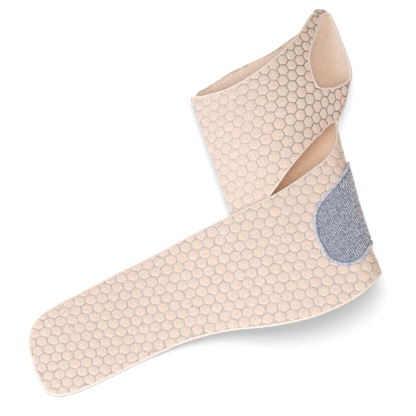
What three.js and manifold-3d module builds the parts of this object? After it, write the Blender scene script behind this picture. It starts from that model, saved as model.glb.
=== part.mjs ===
// A wrist support: one strip of padded fabric, folded into a loop for the palm and a strap that
// crosses it, with a fastener pad round the fold where the strap starts.
// Millimetres. X runs across the palm, Y runs towards the fingers, Z is up from the surface it lies on.

import * as THREE from 'three';
import { mergeVertices } from 'three/addons/utils/BufferGeometryUtils.js';
import Module from 'manifold-3d';

const { clamp, lerp } = THREE.MathUtils;

// Driving sizes
const THICK = 2.2;            // padded fabric
const MID = THICK / 2;        // height of the fabric's middle where it lies flat
const LEFT = -48;             // outermost line of the left fold
const LEFT_REACH = 7.5;       // how far the left fold's round part reaches inwards
const RIGHT_REACH = 13.5;     // the same for the right fold
const FOLD_RUN = 21;          // length of a quarter of the right fold, measured on the fabric
const PALM_SLOPE = 0.4;       // how much of the palm wall's fall is straight, the rest being an S curve
const BOW_FADE = 75;          // distance along the strap at which the right fold's bow has gone
const GAP = 0.3;              // space between touching pieces
const PAD_THICK = 1.6;
const EDGING_RADIUS = 1.2;

// The right fold from the strap's lower corner to the peak: its outermost line and its full height
const RIGHT_FOLD = [
  { y: -122, x: 38.0, high: 25 },
  { y: -102, x: 37.4, high: 26 },
  { y: -78, x: 36.4, high: 27 },
  { y: -49, x: 37.4, high: 28 },
  { y: -11, x: 41.2, high: 28 },
  { y: 7, x: 43.2, high: 28 },
  { y: 19, x: 46.2, high: 28 },
  { y: 29, x: 54.4, high: 28 },
  { y: 42, x: 62.4, high: 28 },
  { y: 54, x: 69.0, high: 28 },
  { y: 71, x: 70.8, high: 27 },
  { y: 87, x: 71.0, high: 25 },
  { y: 103, x: 70.6, high: 22 },
  { y: 113, x: 64.5, high: 19 },
];

// The left fold's full height
const LEFT_FOLD = [
  { y: -45, high: 18 },
  { y: 20, high: 16 },
  { y: 80, high: 14 },
];

// How far the palm wall's middle stands over a straight line between the two folds
const PALM_BOW = [
  { y: -45, high: 12 },
  { y: -25, high: 14.5 },
  { y: 0, high: 19 },
  { y: 25, high: 24 },
  { y: 45, high: 27 },
  { y: 110, high: 28 },
];

// How far the palm wall leans to the left and towards the wrist for each millimetre that it rises
const PALM_LEAN = { x: -0.128, y: -0.405 };

// A turn counts the six stretches of a section: 0 starts at the right fold's outermost line, 1 at its top,
// then 2 at the left fold's top, 3 at its outermost line, 4 at its foot, and 5 at the right fold's foot.
const STEPS_PER_STRETCH = [6, 16, 5, 4, 12, 6];

// The palm loop's two edges: low is the slit's edge on the palm wall and the strap's root on the back wall
const LOOP_EDGES = [
  { turn: 0.0, low: 18.5, rim: 108.3 },
  { turn: 0.5, low: 14.0, rim: 107.8 },
  { turn: 1.0, low: 6.5, rim: 104.3 },
  { turn: 1.2, low: -1.5, rim: 88.5 },
  { turn: 1.4, low: -10.5, rim: 77.2 },
  { turn: 1.6, low: -21.0, rim: 70.0 },
  { turn: 1.8, low: -30.5, rim: 66.2 },
  { turn: 2.0, low: -37.5, rim: 67.5 },
  { turn: 2.5, low: -40.3, rim: 70.0 },
  { turn: 3.0, low: -41.0, rim: 72.0 },
  { turn: 3.5, low: -40.0, rim: 74.0 },
  { turn: 4.0, low: -36.0, rim: 78.5 },
  { turn: 4.3, low: -22.0, rim: 87.0 },
  { turn: 4.6, low: -8.0, rim: 92.5 },
  { turn: 4.8, low: 1.0, rim: 99.5 },
  { turn: 5.0, low: 9.0, rim: 105.5 },
  { turn: 5.5, low: 15.0, rim: 108.3 },
  { turn: 6.0, low: 18.5, rim: 108.3 },
];

// The strap's lower edge on the back wall and round the right fold's lower half
const STRAP_UNDER = [
  { turn: 3.0, low: -41.0 },
  { turn: 4.0, low: -47.0 },
  { turn: 5.0, low: -92.0 },
  { turn: 5.5, low: -97.0 },
  { turn: 6.0, low: -101.0 },
];

// The strap from the right fold's outermost line to its free end: where its two edges are
const STRAP = [
  { along: 0, top_x: 46.1, top_y: 18.5, top_z: 15.1, low_x: 37.4, low_y: -101.0, low_z: 14.1 },
  { along: 10.5, top_x: 38.4, top_y: 0.0, top_z: 25.0, low_x: 33.5, low_y: -107.0, low_z: 23.1 },
  { along: 21, top_x: 27.6, top_y: -11.5, top_z: 29.1, low_x: 24.2, low_y: -113.5, low_z: 26.5 },
  { along: 33, top_x: 16, top_y: -17.0, top_z: 29.5, low_x: 12, low_y: -118.0, low_z: 26.0 },
  { along: 48, top_x: 0, top_y: -22.8, top_z: 29.2, low_x: -3, low_y: -120.7, low_z: 25.0 },
  { along: 66, top_x: -18, top_y: -27.7, top_z: 28.0, low_x: -20, low_y: -121.5, low_z: 23.0 },
  { along: 84, top_x: -36, top_y: -29.7, top_z: 25.2, low_x: -37, low_y: -119.6, low_z: 20.0 },
  { along: 101, top_x: -52, top_y: -31.2, top_z: 21.5, low_x: -54, low_y: -116.0, low_z: 16.5 },
  { along: 120, top_x: -70, top_y: -32.4, top_z: 16.0, low_x: -73, low_y: -110.5, low_z: 12.0 },
  { along: 140, top_x: -88, top_y: -34.3, top_z: 10.3, low_x: -92, low_y: -107.3, low_z: 8.3 },
  { along: 159, top_x: -106, top_y: -36.7, top_z: 5.5, low_x: -111, low_y: -106.5, low_z: 5.0 },
  { along: 175, top_x: -122, top_y: -38.8, top_z: 2.4, low_x: -127, low_y: -107.8, low_z: 2.6 },
  { along: 191, top_x: -138, top_y: -41.2, top_z: MID, low_x: -143, low_y: -110.0, low_z: MID },
  { along: 221, top_x: -167, top_y: -47.5, top_z: MID, low_x: -172, low_y: -115.0, low_z: MID },
  { along: 245, top_x: -192, top_y: -53.0, top_z: MID, low_x: -194, low_y: -117.4, low_z: MID },
  { along: 256, top_x: -204, top_y: -59.0, top_z: MID, low_x: -205, low_y: -115.0, low_z: MID },
  { along: 263, top_x: -210.5, top_y: -68.0, top_z: MID, low_x: -211, low_y: -108.0, low_z: MID },
  { along: 265.5, top_x: -213.3, top_y: -78.0, top_z: MID, low_x: -213.3, low_y: -95.0, low_z: MID },
];

// The turn of the thumb hole's right side, just over the right fold's outermost line
const HOLE_FOOT = 0.03;

// The thumb hole's outline on the palm wall
const THUMB_HOLE = [
  { turn: HOLE_FOOT, y: 55 },
  { turn: 0.18, y: 47.5 },
  { turn: 0.53, y: 42 },
  { turn: 0.88, y: 39.8 },
  { turn: 1.06, y: 41 },
  { turn: 1.14, y: 46 },
  { turn: 1.18, y: 56 },
  { turn: 1.16, y: 69 },
  { turn: 1.06, y: 84 },
  { turn: 0.95, y: 96 },
  { turn: 0.7, y: 101 },
  { turn: 0.35, y: 103 },
  { turn: 0.05, y: 101 },
  { turn: HOLE_FOOT, y: 95 },
  { turn: HOLE_FOOT, y: 75 },
];

// A point inside that outline
const THUMB_HOLE_MIDDLE = { turn: 0.6, y: 72 };

// The pad's two sides at stations along the strap, from under the fold to its rounded tip on the face
const PAD = [
  { along: -9.5, top: -31, low: -60 },
  { along: -7, top: -21, low: -69 },
  { along: -3.5, top: -17, low: -73 },
  { along: 0, top: -16, low: -75.5 },
  { along: 10.5, top: -27, low: -83 },
  { along: 21, top: -37.5, low: -92 },
  { along: 30, top: -43, low: -92 },
  { along: 36.5, top: -48.5, low: -88 },
  { along: 40, top: -54, low: -82.5 },
  { along: 42.3, top: -64, low: -70 },
];

// How finely each surface is divided
const COUNTS = {
  loop_rows: 14,
  strap_rows: 10,
  strap_steps: 2,
  pad_rows: 10,
  pad_tip: 7,
  hole: 56,
  edging: 88,
  edging_sides: 8,
};

const COLOURS = { fabric: 0xe6d2c6, pad: 0x8a93a8, edging: 0xc3c9d8 };

// A smooth curve through one column of a table, read at a place along its key column
function read(table, key, column, place) {
  const last = table.length - 1;
  const at = clamp(place, table[0][key], table[last][key]);
  const from = clamp(table.findLastIndex((row) => row[key] <= at), 0, last - 1);
  const slope = (k) => {
    const before = table[Math.max(k - 1, 0)];
    const after = table[Math.min(k + 1, last)];
    return (after[column] - before[column]) / (after[key] - before[key]);
  };
  const span = table[from + 1][key] - table[from][key];
  const t = (at - table[from][key]) / span;
  const rise = t * t * (3 - 2 * t);
  const bend = t * (1 - t) * span * ((1 - t) * slope(from) - t * slope(from + 1));
  return lerp(table[from][column], table[from + 1][column], rise) + bend;
}

// The fabric's middle at a turn of the section at y
function section(turn, y) {
  const right = read(RIGHT_FOLD, 'y', 'x', y);
  const right_high = read(RIGHT_FOLD, 'y', 'high', y);
  const left_high = read(LEFT_FOLD, 'y', 'high', y);
  const stretch = Math.min(Math.floor(turn), STEPS_PER_STRETCH.length - 1);
  const part = turn - stretch;
  const c = Math.cos(part * Math.PI / 2);
  const s = Math.sin(part * Math.PI / 2);
  const fall = lerp(part * part * (3 - 2 * part), part, PALM_SLOPE);
  const inner_right = right - RIGHT_REACH;
  const inner_left = LEFT + LEFT_REACH;
  const [x, z] = [
    () => [inner_right + RIGHT_REACH * c, right_high / 2 * (1 + s)],
    () => [lerp(inner_right, inner_left, part), lerp(right_high, left_high, fall)],
    () => [inner_left - LEFT_REACH * s, left_high / 2 * (1 + c)],
    () => [inner_left - LEFT_REACH * c, left_high / 2 * (1 - s)],
    () => [lerp(inner_left, inner_right, part), 0],
    () => [inner_right + RIGHT_REACH * s, right_high / 2 * (1 - c)],
  ][stretch]();
  return new THREE.Vector3(x, y, MID + z);
}

// The fabric's middle on the palm loop: the section with its palm wall bowed evenly from fold to fold
function loopPoint(turn, y) {
  const point = section(turn, y);
  if (turn >= 3) return point;
  const right = section(0, y);
  const left = section(3, y);
  const across = (right.x - point.x) / (right.x - left.x);
  const bow = 4 * across * (1 - across) * read(PALM_BOW, 'y', 'high', y);
  const rise = lerp(right.z, left.z, across) + bow - point.z;
  return point.add(new THREE.Vector3(PALM_LEAN.x * rise, PALM_LEAN.y * rise, rise));
}

// The fabric's middle on the strap: round the right fold first, then straight across from edge to edge
function strapPoint(along, y) {
  if (along < 0) return section(STEPS_PER_STRETCH.length + along / FOLD_RUN, y);
  if (along <= FOLD_RUN) return section(along / FOLD_RUN, y);
  const at = (column) => read(STRAP, 'along', column, along);
  const across = (y - at('top_y')) / (at('low_y') - at('top_y'));
  const start = STRAP.find((row) => row.along === FOLD_RUN);
  const start_y = lerp(start.top_y, start.low_y, across);
  const bow = section(1, start_y);
  bow.x -= lerp(start.top_x, start.low_x, across);
  bow.z -= lerp(start.top_z, start.low_z, across);
  const keep = 1 - THREE.MathUtils.smoothstep(along, FOLD_RUN, BOW_FADE);
  const x = lerp(at('top_x'), at('low_x'), across) + bow.x * keep;
  const z = lerp(at('top_z'), at('low_z'), across) + bow.z * keep;
  return new THREE.Vector3(x, y, Math.max(z, MID));
}

function steps(from, to, count) {
  return Array.from({ length: count + 1 }, (_, i) => lerp(from, to, i / count));
}

// Four-cornered faces between neighbouring columns of points
function facesBetween(columns, closed) {
  const pairs = columns.map((column, i) => [column, columns[(i + 1) % columns.length]]);
  if (!closed) pairs.pop();
  return pairs.flatMap(([here, next]) => {
    return here.slice(1).map((_, j) => [here[j], here[j + 1], next[j + 1], next[j]]);
  });
}

// A closed wall round an open sheet of faces, from one height over the sheet to another
function wall(faces, inner_height, outer_height) {
  const corners = faces.flatMap(([a, b, c, d]) => [a, b, c, a, c, d]);
  const sheet = mergeVertices(new THREE.BufferGeometry().setFromPoints(corners), 1e-3);
  sheet.computeVertexNormals();
  const count = sheet.attributes.position.count;
  const lifted = (height) => [...Array(count).keys()].map((i) => {
    const point = new THREE.Vector3().fromBufferAttribute(sheet.attributes.position, i);
    const normal = new THREE.Vector3().fromBufferAttribute(sheet.attributes.normal, i);
    return point.addScaledVector(normal, height);
  });
  const points = [...lifted(inner_height), ...lifted(outer_height)];
  const triangles = [];
  const edges = new Map();
  for (let k = 0; k < sheet.index.count; k += 3) {
    const [i, j, l] = [0, 1, 2].map((n) => sheet.index.getX(k + n));
    if (i === j || j === l || l === i) continue;
    triangles.push(i + count, j + count, l + count, l, j, i);
    [[i, j], [j, l], [l, i]].forEach(([from, to]) => edges.set(`${from} ${to}`, [from, to]));
  }
  for (const [from, to] of edges.values()) {
    if (edges.has(`${to} ${from}`)) continue;
    triangles.push(to + count, from + count, from, to + count, from, to);
  }
  const solid = new THREE.BufferGeometry().setFromPoints(points);
  solid.setIndex(triangles);
  return solid;
}

const wasm = await Module();
wasm.setup();

function toManifold(geometry) {
  const vertProperties = new Float32Array(geometry.attributes.position.array);
  const triVerts = new Uint32Array(geometry.index.array);
  return new wasm.Manifold(new wasm.Mesh({ numProp: 3, vertProperties, triVerts }));
}

function fromManifold(solid) {
  const mesh = solid.getMesh();
  const geometry = new THREE.BufferGeometry();
  geometry.setAttribute('position', new THREE.BufferAttribute(mesh.vertProperties, mesh.numProp));
  geometry.setIndex(new THREE.BufferAttribute(mesh.triVerts, 1));
  return geometry;
}

// The palm loop and the strap, which share the points of the strap's root
function wrapFaces() {
  const turns = STEPS_PER_STRETCH.flatMap((count, stretch) => {
    return steps(stretch, stretch + 1, count).slice(0, count);
  });
  const loop = turns.map((turn) => {
    const low = read(LOOP_EDGES, 'turn', 'low', turn);
    const rim = read(LOOP_EDGES, 'turn', 'rim', turn);
    return steps(low, rim, COUNTS.loop_rows).map((y) => loopPoint(turn, y));
  });
  const under = turns.filter((turn) => turn >= 3).map((turn) => {
    const root = read(LOOP_EDGES, 'turn', 'low', turn);
    const low = read(STRAP_UNDER, 'turn', 'low', turn);
    return steps(low, root, COUNTS.strap_rows).map((y) => section(turn, y));
  });
  const fold = steps(0, FOLD_RUN, STEPS_PER_STRETCH[0]);
  const rows = STRAP.filter((row) => row.along >= FOLD_RUN);
  const over = rows.slice(1).flatMap((row, i) => {
    return steps(rows[i].along, row.along, COUNTS.strap_steps).slice(1);
  });
  const strap = [...fold, ...over].map((along) => {
    const top = read(STRAP, 'along', 'top_y', along);
    const low = read(STRAP, 'along', 'low_y', along);
    return steps(low, top, COUNTS.strap_rows).map((y) => strapPoint(along, y));
  });
  return [...facesBetween(loop, true), ...facesBetween([...under, ...strap], false)];
}

// A plug through the palm wall, of the thumb hole's outline
function thumbPlug() {
  const outside = 12;
  const inside = -9;
  const step = 0.01;
  const outline = new THREE.CatmullRomCurve3(
    THUMB_HOLE.map(({ turn, y }) => new THREE.Vector3(turn * FOLD_RUN, y, 0)), true, 'centripetal');
  const place = (turn, y, height) => {
    const around = section(turn + step, y).sub(section(turn, y));
    const up = section(turn, y + step).sub(section(turn, y));
    return loopPoint(turn, y).addScaledVector(up.cross(around).normalize(), height);
  };
  const ring = outline.getPoints(COUNTS.hole).slice(0, COUNTS.hole);
  const rings = [inside, outside].map((height) => {
    return ring.map(({ x, y }) => place(Math.max(x / FOLD_RUN, HOLE_FOOT), y, height));
  });
  const middles = [inside, outside].map((height) => {
    return place(THUMB_HOLE_MIDDLE.turn, THUMB_HOLE_MIDDLE.y, height);
  });
  const points = [...rings.flat(), ...middles];
  const n = COUNTS.hole;
  const triangles = ring.flatMap((_, i) => {
    const next = (i + 1) % n;
    return [next, i, n + i, next, n + i, n + next, 2 * n, i, next, 2 * n + 1, n + next, n + i];
  });
  const plug = new THREE.BufferGeometry().setFromPoints(points);
  plug.setIndex(triangles);
  return plug;
}

function padOutline(along) {
  return [read(PAD, 'along', 'top', along), read(PAD, 'along', 'low', along)];
}

function padStations() {
  const fold = steps(-FOLD_RUN, FOLD_RUN, 2 * STEPS_PER_STRETCH[0]);
  const first = PAD[0].along;
  const last = PAD[PAD.length - 1].along;
  const tip = steps(0, Math.PI / 2, COUNTS.pad_tip).map((angle) => lerp(FOLD_RUN, last, Math.sin(angle)));
  return [first, ...fold.filter((along) => along > first), ...tip.slice(1)];
}

function padFaces() {
  const columns = padStations().map((along) => {
    const [top, low] = padOutline(along);
    return steps(low, top, COUNTS.pad_rows).map((y) => strapPoint(along, y));
  });
  return facesBetween(columns, false);
}

// The overlocked edge: a roll that runs round the pad's outline
function edging() {
  const stations = padStations();
  const corners = [
    ...stations.map((along) => new THREE.Vector3(along, padOutline(along)[0], 0)),
    ...stations.toReversed().map((along) => new THREE.Vector3(along, padOutline(along)[1], 0)),
  ];
  const outline = new THREE.CatmullRomCurve3(corners, true, 'centripetal');
  const out = EDGING_RADIUS + GAP;
  const lift = MID + GAP + EDGING_RADIUS;
  const rings = steps(0, 1, COUNTS.edging).slice(0, COUNTS.edging).map((part) => {
    const at = outline.getPointAt(part);
    const way = outline.getTangentAt(part);
    const side = (reach) => strapPoint(at.x - way.y * reach, at.y + way.x * reach);
    const ahead = strapPoint(at.x + way.x, at.y + way.y).sub(strapPoint(at.x, at.y)).normalize();
    const outward = side(out + 1).sub(side(out)).normalize();
    const up = outward.clone().cross(ahead).normalize();
    const centre = side(out).addScaledVector(up, lift);
    return steps(2 * Math.PI, 0, COUNTS.edging_sides).map((angle) => centre.clone()
      .addScaledVector(outward, EDGING_RADIUS * Math.cos(angle))
      .addScaledVector(up, EDGING_RADIUS * Math.sin(angle)));
  });
  const corner_points = facesBetween(rings, true).flatMap(([a, b, c, d]) => [a, b, c, a, c, d]);
  return mergeVertices(new THREE.BufferGeometry().setFromPoints(corner_points), 1e-3);
}

function piece(name, geometry, color, roughness) {
  const mesh = new THREE.Mesh(geometry, new THREE.MeshStandardMaterial({ color, roughness, metalness: 0 }));
  mesh.name = name;
  return mesh;
}

const wrap = toManifold(wall(wrapFaces(), -MID, MID)).subtract(toManifold(thumbPlug()));
const pad_height = MID + GAP;

const support = new THREE.Group();
support.add(piece('wrap', fromManifold(wrap), COLOURS.fabric, 0.85));
support.add(piece('fastener_pad', wall(padFaces(), pad_height, pad_height + PAD_THICK), COLOURS.pad, 0.95));
support.add(piece('pad_edging', edging(), COLOURS.edging, 0.8));

export default support;
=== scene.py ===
# %% [markdown]
# # A wrist support, laid out flat and folded
# The real wrap is die-cut from one sheet of padded fabric and only then folded and sewn. This lesson
# makes it in the same order: a former gives the folded shape, the former is flattened into a cutting
# pattern, the fabric, the fastener pad and their stitches are made flat on that pattern, and everything
# is folded back at the end.

import cmath
import math
import random

import bmesh
import bpy
import numpy as np
from mathutils import Matrix, Vector
from mathutils.bvhtree import BVHTree
from mathutils.geometry import barycentric_transform


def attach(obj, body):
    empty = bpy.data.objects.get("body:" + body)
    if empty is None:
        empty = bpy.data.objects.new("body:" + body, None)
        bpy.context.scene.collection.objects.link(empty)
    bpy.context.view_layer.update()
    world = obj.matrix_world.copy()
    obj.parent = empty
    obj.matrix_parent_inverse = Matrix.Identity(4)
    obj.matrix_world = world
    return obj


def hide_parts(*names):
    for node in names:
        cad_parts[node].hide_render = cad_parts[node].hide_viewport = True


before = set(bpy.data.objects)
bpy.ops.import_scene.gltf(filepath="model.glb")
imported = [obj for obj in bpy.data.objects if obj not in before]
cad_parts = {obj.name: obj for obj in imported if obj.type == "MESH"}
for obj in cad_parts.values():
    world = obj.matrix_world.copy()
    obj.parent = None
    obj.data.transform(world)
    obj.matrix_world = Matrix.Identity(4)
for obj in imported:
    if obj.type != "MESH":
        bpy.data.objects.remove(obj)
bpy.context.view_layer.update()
MM = 0.001
random.seed(7)
print("nodes", sorted(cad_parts))

# %% [markdown]
# ## The former: its sections
# A section across the palm has six stretches: two quarters of the right fold, the palm wall, two quarters
# of the left fold and the flat back wall. A turn counts them, starting at the right fold's outermost
# line. Short tables say how the folds change along the hand, and a smooth curve through each column fills
# the places between rows. Lengths are millimetres until a piece is finished.

# %% Read a table smoothly
def smooth(places, values, at):
    places = np.asarray(places, float)
    values = np.asarray(values, float)
    at = np.clip(np.asarray(at, float), places[0], places[-1])
    before = np.maximum(np.arange(len(places)) - 1, 0)
    after = np.minimum(np.arange(len(places)) + 1, len(places) - 1)
    slopes = (values[after] - values[before]) / (places[after] - places[before])
    row = np.clip(np.searchsorted(places, at, side="right") - 1, 0, len(places) - 2)
    span = places[row + 1] - places[row]
    t = (at - places[row]) / span
    rise = t * t * (3 - 2 * t)
    bend = t * (1 - t) * span * ((1 - t) * slopes[row] - t * slopes[row + 1])
    return values[row] + (values[row + 1] - values[row]) * rise + bend


# %% The folds along the hand
THICK = 2.2
HALF = THICK / 2
LEFT = -48.0
LEFT_REACH = 7.5
RIGHT_REACH = 13.5
PALM_SLOPE = 0.4
RIGHT_FOLD = {
    "y": [-122, -102, -78, -49, -11, 7, 19, 29, 42, 54, 71, 87, 103, 113],
    "x": [38.0, 37.4, 36.4, 37.4, 41.2, 43.2, 46.2, 54.4, 62.4, 69.0, 70.8, 71.0, 70.6, 64.5],
    "high": [25, 26, 27, 28, 28, 28, 28, 28, 28, 28, 27, 25, 22, 19],
}
LEFT_FOLD = {"y": [-45, 20, 80], "high": [18, 16, 14]}


def section(turn, y):
    turn = np.asarray(turn, float)
    y = np.asarray(y, float)
    right = smooth(RIGHT_FOLD["y"], RIGHT_FOLD["x"], y)
    right_high = smooth(RIGHT_FOLD["y"], RIGHT_FOLD["high"], y)
    left_high = smooth(LEFT_FOLD["y"], LEFT_FOLD["high"], y)
    stretch = np.clip(np.floor(turn), 0, 5).astype(int)
    part = turn - stretch
    c = np.cos(part * math.pi / 2)
    s = np.sin(part * math.pi / 2)
    fall = PALM_SLOPE * part + (1 - PALM_SLOPE) * part * part * (3 - 2 * part)
    inner_right = right - RIGHT_REACH
    inner_left = LEFT + LEFT_REACH
    across = (inner_left - inner_right) * part
    x = np.choose(stretch, [
        inner_right + RIGHT_REACH * c,
        inner_right + across,
        inner_left - LEFT_REACH * s,
        inner_left - LEFT_REACH * c,
        inner_left - across,
        inner_right + RIGHT_REACH * s,
    ])
    z = np.choose(stretch, [
        right_high / 2 * (1 + s),
        right_high + (left_high - right_high) * fall,
        left_high / 2 * (1 + c),
        left_high / 2 * (1 - s),
        0 * part,
        right_high / 2 * (1 - c),
    ])
    return np.stack(np.broadcast_arrays(x, y, HALF + z), axis=-1)


print("palm section at the origin", section([0, 1, 2, 3, 4, 5], 0).round(1).tolist())

# %% [markdown]
# ## The former: its arched palm wall
# The cloth is springy, so the palm wall does not lie down but arches from fold to fold. A table says how
# far its middle stands over a straight line between the folds, and the wall leans a little as it rises.

# %% Arch the palm wall
PALM_BOW = {"y": [-45, -25, 0, 25, 45, 110], "high": [12, 14.5, 19, 24, 27, 28]}
PALM_LEAN = np.array([-0.128, -0.405, 1.0])


def loop_point(turn, y):
    turn, y = np.broadcast_arrays(np.asarray(turn, float), np.asarray(y, float))
    point = section(turn, y)
    right = section(0 * turn, y)
    left = section(0 * turn + 3, y)
    across = (right[..., 0] - point[..., 0]) / (right[..., 0] - left[..., 0])
    bow = 4 * across * (1 - across) * smooth(PALM_BOW["y"], PALM_BOW["high"], y)
    rise = right[..., 2] * (1 - across) + left[..., 2] * across + bow - point[..., 2]
    return point + np.where(turn < 3, rise, 0)[..., None] * PALM_LEAN


print("palm wall at the origin", loop_point([0, 1, 1.5, 2, 3], 0).round(1).tolist())

# %% [markdown]
# ## The former: its edges and its strap
# The loop for the palm ends in two edges, the finger rim and a lower edge. On the back wall the strap
# grows out of the lower edge, goes round the right fold and runs out over the palm wall to its free end
# on the table. The strap's rows say where its two edges are, and straight lines join them.

# %% Edges of the loop and of the strap
LOOP_EDGES = {
    "turn": [0, 0.5, 1, 1.2, 1.4, 1.6, 1.8, 2, 2.5, 3, 3.5, 4, 4.3, 4.6, 4.8, 5, 5.5, 6],
    "low": [18.5, 14, 6.5, -1.5, -10.5, -21, -30.5, -37.5, -40.3, -41, -40, -36, -22, -8, 1, 9, 15, 18.5],
    "rim": [108.3, 107.8, 104.3, 88.5, 77.2, 70, 66.2, 67.5, 70, 72, 74, 78.5, 87, 92.5, 99.5, 105.5,
            108.3, 108.3],
}
STRAP_UNDER = {"turn": [3, 4, 5, 5.5, 6], "low": [-41, -47, -92, -97, -101]}
FOLD_RUN = 21.0
BOW_FADE = 75.0
STRAP = {
    "along": [0, 10.5, 21, 33, 48, 66, 84, 101, 120, 140, 159, 175, 191, 221, 245, 256, 263, 265.5],
    "top_x": [46.1, 38.4, 27.6, 16, 0, -18, -36, -52, -70, -88, -106, -122, -138, -167, -192, -204,
              -210.5, -213.3],
    "top_y": [18.5, 0, -11.5, -17, -22.8, -27.7, -29.7, -31.2, -32.4, -34.3, -36.7, -38.8, -41.2, -47.5,
              -53, -59, -68, -78],
    "top_z": [15.1, 25, 29.1, 29.5, 29.2, 28, 25.2, 21.5, 16, 10.3, 5.5, 2.4] + [HALF] * 6,
    "low_x": [37.4, 33.5, 24.2, 12, -3, -20, -37, -54, -73, -92, -111, -127, -143, -172, -194, -205,
              -211, -213.3],
    "low_y": [-101, -107, -113.5, -118, -120.7, -121.5, -119.6, -116, -110.5, -107.3, -106.5, -107.8, -110,
              -115, -117.4, -115, -108, -95],
    "low_z": [14.1, 23.1, 26.5, 26, 25, 23, 20, 16.5, 12, 8.3, 5, 2.6] + [HALF] * 6,
}


def strap_at(column, along):
    return smooth(STRAP["along"], STRAP[column], along)


def strap_point(along, y):
    along = np.asarray(along, float)
    y = np.asarray(y, float)
    low_y = strap_at("low_y", along)
    top_y = strap_at("top_y", along)
    across = (y - top_y) / (low_y - top_y)
    start = {name: float(strap_at(name, FOLD_RUN)) for name in STRAP}
    fold_top = section(1, start["top_y"] + (start["low_y"] - start["top_y"]) * across)
    keep = np.clip((along - FOLD_RUN) / (BOW_FADE - FOLD_RUN), 0, 1)
    keep = 1 - keep * keep * (3 - 2 * keep)
    places = []
    for axis, name in ((0, "x"), (2, "z")):
        straight = strap_at("top_" + name, along) * (1 - across) + strap_at("low_" + name, along) * across
        bow = fold_top[..., axis] - start["top_" + name] * (1 - across) - start["low_" + name] * across
        places.append(straight + bow * keep)
    over = np.stack(np.broadcast_arrays(places[0], y, np.maximum(places[1], HALF)), axis=-1)
    turn = np.where(along < 0, 6 + along / FOLD_RUN, np.minimum(along / FOLD_RUN, 1))
    return np.where((along > FOLD_RUN)[..., None], over, section(turn, y))


print("free end", strap_point(265.5, -86).round(1).tolist())

# %% [markdown]
# ## Weave the former
# Two grids make the former: one round the palm and one along the strap. Each vertex of a plain grid is
# moved to its place on the tables' surface. The grids share the strap's root, so merging doubles sews
# them together, and the palm grid closes on itself at the right fold.

# %% Two grids joined at the strap's root
STEPS = [12, 36, 10, 8, 28, 12]
LOOP_ROWS = 44
STRAP_ROWS = 40
STRAP_STEPS = 4


def spread(low, high, count):
    part = np.linspace(0, 1, count + 1)
    return low[:, None] * (1 - part) + high[:, None] * part


def grid_of(bm, columns):
    last_column, last_row = columns.shape[0] - 1, columns.shape[1] - 1
    grid = bmesh.ops.create_grid(bm, x_segments=last_column, y_segments=last_row, size=0.5)
    for vert in grid["verts"]:
        column = round((vert.co.x + 0.5) * last_column)
        row = round((vert.co.y + 0.5) * last_row)
        vert.co = columns[column, row]


turns = np.concatenate([np.linspace(k, k + 1, n, endpoint=False) for k, n in enumerate(STEPS)] + [[6.0]])
loop_low = smooth(LOOP_EDGES["turn"], LOOP_EDGES["low"], turns)
loop_rim = smooth(LOOP_EDGES["turn"], LOOP_EDGES["rim"], turns)
loop = loop_point(turns[:, None], spread(loop_rim, loop_low, LOOP_ROWS))

under = turns[(turns >= 3) & (turns < 6)]
under_low = smooth(STRAP_UNDER["turn"], STRAP_UNDER["low"], under)
under_root = smooth(LOOP_EDGES["turn"], LOOP_EDGES["low"], under)
rows = [k for k in STRAP["along"] if k >= FOLD_RUN]
over = [np.linspace(a, b, STRAP_STEPS, endpoint=False) for a, b in zip(rows, rows[1:])]
stations = np.concatenate([np.linspace(0, FOLD_RUN, STEPS[0], endpoint=False)] + over + [[rows[-1]]])
strap_edges = strap_at("top_y", stations), strap_at("low_y", stations)
strap = np.concatenate([
    section(under[:, None], spread(under_root, under_low, STRAP_ROWS)),
    strap_point(stations[:, None], spread(*strap_edges, STRAP_ROWS)),
])

former = bmesh.new()
grid_of(former, loop)
grid_of(former, strap)
bmesh.ops.remove_doubles(former, verts=former.verts, dist=0.01)
bmesh.ops.dissolve_degenerate(former, edges=former.edges, dist=0.01)
print("former", len(former.verts), "verts", len(former.faces), "faces")

# %% [markdown]
# ## Flatten the former into a cutting pattern
# Unwrapping is how Blender lays a surface flat. A seam along the right upper fold opens the loop, so the
# pattern is one flat piece. The map is then turned and scaled to real millimetres, with the palm wall's
# length pointing up.

# %% Unwrap and scale the pattern
SEAM_NEAR = 0.02
SEAM_SLACK = 0.1
PATCH_LOW = (-12, 10, 15)
PATCH_HIGH = (12, 55, 100)


def seam_at_right_fold(edge):
    on_fold = []
    for vert in edge.verts:
        x, y, z = vert.co
        apex = section(0, y)
        near = abs(x - apex[0]) < SEAM_NEAR and abs(z - apex[2]) < SEAM_NEAR
        on_fold.append(near and y > LOOP_EDGES["low"][0] - SEAM_SLACK)
    return all(on_fold)


for edge in former.edges:
    edge.seam = seam_at_right_fold(edge)
print("seam edges", sum(edge.seam for edge in former.edges))
former_mesh = bpy.data.meshes.new("former")
former.to_mesh(former_mesh)
former_object = bpy.data.objects.new("former", former_mesh)
bpy.context.collection.objects.link(former_object)
bpy.context.view_layer.objects.active = former_object
former_mesh.uv_layers.new(name="pattern")
bpy.ops.object.mode_set(mode="EDIT")
bpy.ops.mesh.select_all(action="SELECT")
bpy.ops.uv.unwrap(method="ANGLE_BASED", margin=0.0)
bpy.ops.object.mode_set(mode="OBJECT")

former_mesh.calc_loop_triangles()
corners = np.array([tri.loops[:] for tri in former_mesh.loop_triangles])
corner_verts = np.array([tri.vertices[:] for tri in former_mesh.loop_triangles])
pattern = np.array([loop_uv.uv[:] for loop_uv in former_mesh.uv_layers[0].data])
folded = np.array([vert.co[:] for vert in former_mesh.vertices])
normals = np.array([vert.normal[:] for vert in former_mesh.vertices])


def doubled_areas(flat):
    side_a = flat[corners[:, 1]] - flat[corners[:, 0]]
    side_b = flat[corners[:, 2]] - flat[corners[:, 0]]
    return side_a[:, 0] * side_b[:, 1] - side_a[:, 1] * side_b[:, 0]


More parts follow.
